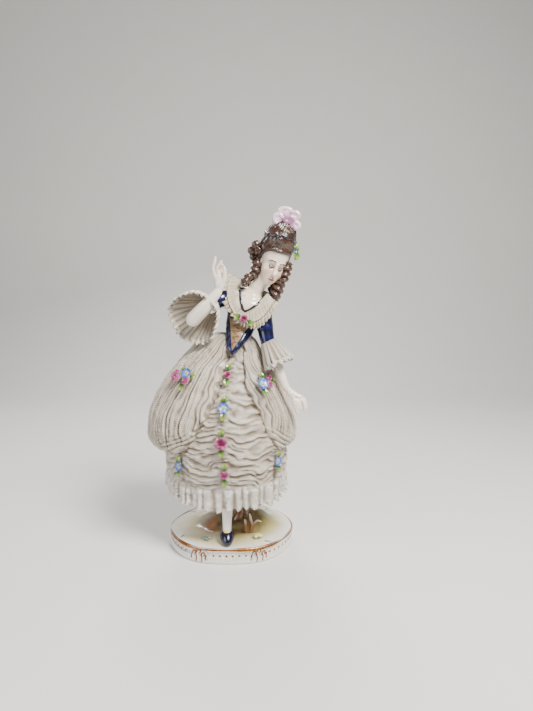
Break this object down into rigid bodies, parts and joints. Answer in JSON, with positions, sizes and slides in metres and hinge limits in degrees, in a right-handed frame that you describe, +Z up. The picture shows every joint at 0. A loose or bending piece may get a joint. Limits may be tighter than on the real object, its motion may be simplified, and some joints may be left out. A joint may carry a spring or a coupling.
{
  "type": "porcelain figurine",
  "caption": "Porcelain figurine of a lady in a lace crinoline gown, one hand raised, on a gilded oval plinth.",
  "frame": {"origin": "centre of the foot ring under the plinth, on the plane it stands on", "axes": "+Z up from the foot ring to the plume, -Y out of the front of the figure, +X to the viewer's right"},
  "size_m": [0.1139, 0.0922, 0.2502],
  "materials": {
    "white_porcelain": "glossy clear glaze over white body, gilded lines",
    "lace": "fine net lace soaked in slip and fired, thin glaze",
    "lace_ruffle": "openwork lace edging soaked in slip and fired",
    "painted_ground": "glossy glaze, green and brown shading",
    "stump": "glossy brown glaze",
    "skin": "glossy ivory glaze with a painted blush",
    "cobalt": "deep glossy cobalt glaze",
    "stomacher": "grey-beige glaze with painted lacing",
    "hair": "glossy chestnut glaze over modelled strands",
    "plume": "glossy pale pink glaze with mauve shading",
    "rose": "glossy magenta shading to pink",
    "blue_flower": "glossy blue with a yellow eye",
    "leaf": "glossy yellow green",
    "stocking": "glossy white glaze",
    "shoe_yellow": "glossy yellow glaze",
    "bare_porcelain": "unglazed white body inside the skirt"
  },
  "bodies": {
    "root": {"base": "white_porcelain", "ground_mound": "painted_ground", "tree_stump": "stump", "front_leg": "stocking", "front_shoe": "cobalt", "shoe_bow": "shoe_yellow", "skirt_core": "bare_porcelain", "skirt_floor": "bare_porcelain", "petticoat": "lace", "hem_ruffle": "lace_ruffle", "overskirt_left": "lace", "overskirt_right": "lace", "overskirt_back": "lace", "bodice": "cobalt", "stomacher": "stomacher", "bust": "skin", "head": "skin", "hair_pouf": "hair", "side_roll": "hair", "ringlet_right_front": "hair", "ringlet_right_middle": "hair", "ringlet_right_back": "hair", "ringlet_left_front": "hair", "ringlet_left_shoulder": "hair", "ringlet_left_back": "hair", "ringlet_nape": "hair", "plume": "plume", "raised_sleeve": "cobalt", "raised_forearm": "skin", "raised_flounce": "lace_ruffle", "lowered_sleeve": "cobalt", "lowered_forearm": "skin", "lowered_cuff": "lace_ruffle", "collar": "lace_ruffle", "corsage_rose": "rose", "corsage_leaves": "leaf", "posy_left_roses": "rose", "posy_left_blue_flower": "blue_flower", "posy_left_leaves": "leaf", "posy_right_roses": "rose", "posy_right_blue_flower": "blue_flower", "posy_right_leaves": "leaf", "garland_bud": "rose", "garland_blue_flower": "blue_flower", "garland_rose": "rose", "garland_small_rose": "rose", "garland_leaves": "leaf", "side_flower_left": "blue_flower", "side_flower_right": "blue_flower", "side_leaves": "leaf", "hair_flower": "blue_flower", "hair_leaves": "leaf", "ground_flowers": "blue_flower"}
  },
  "joints": []
}
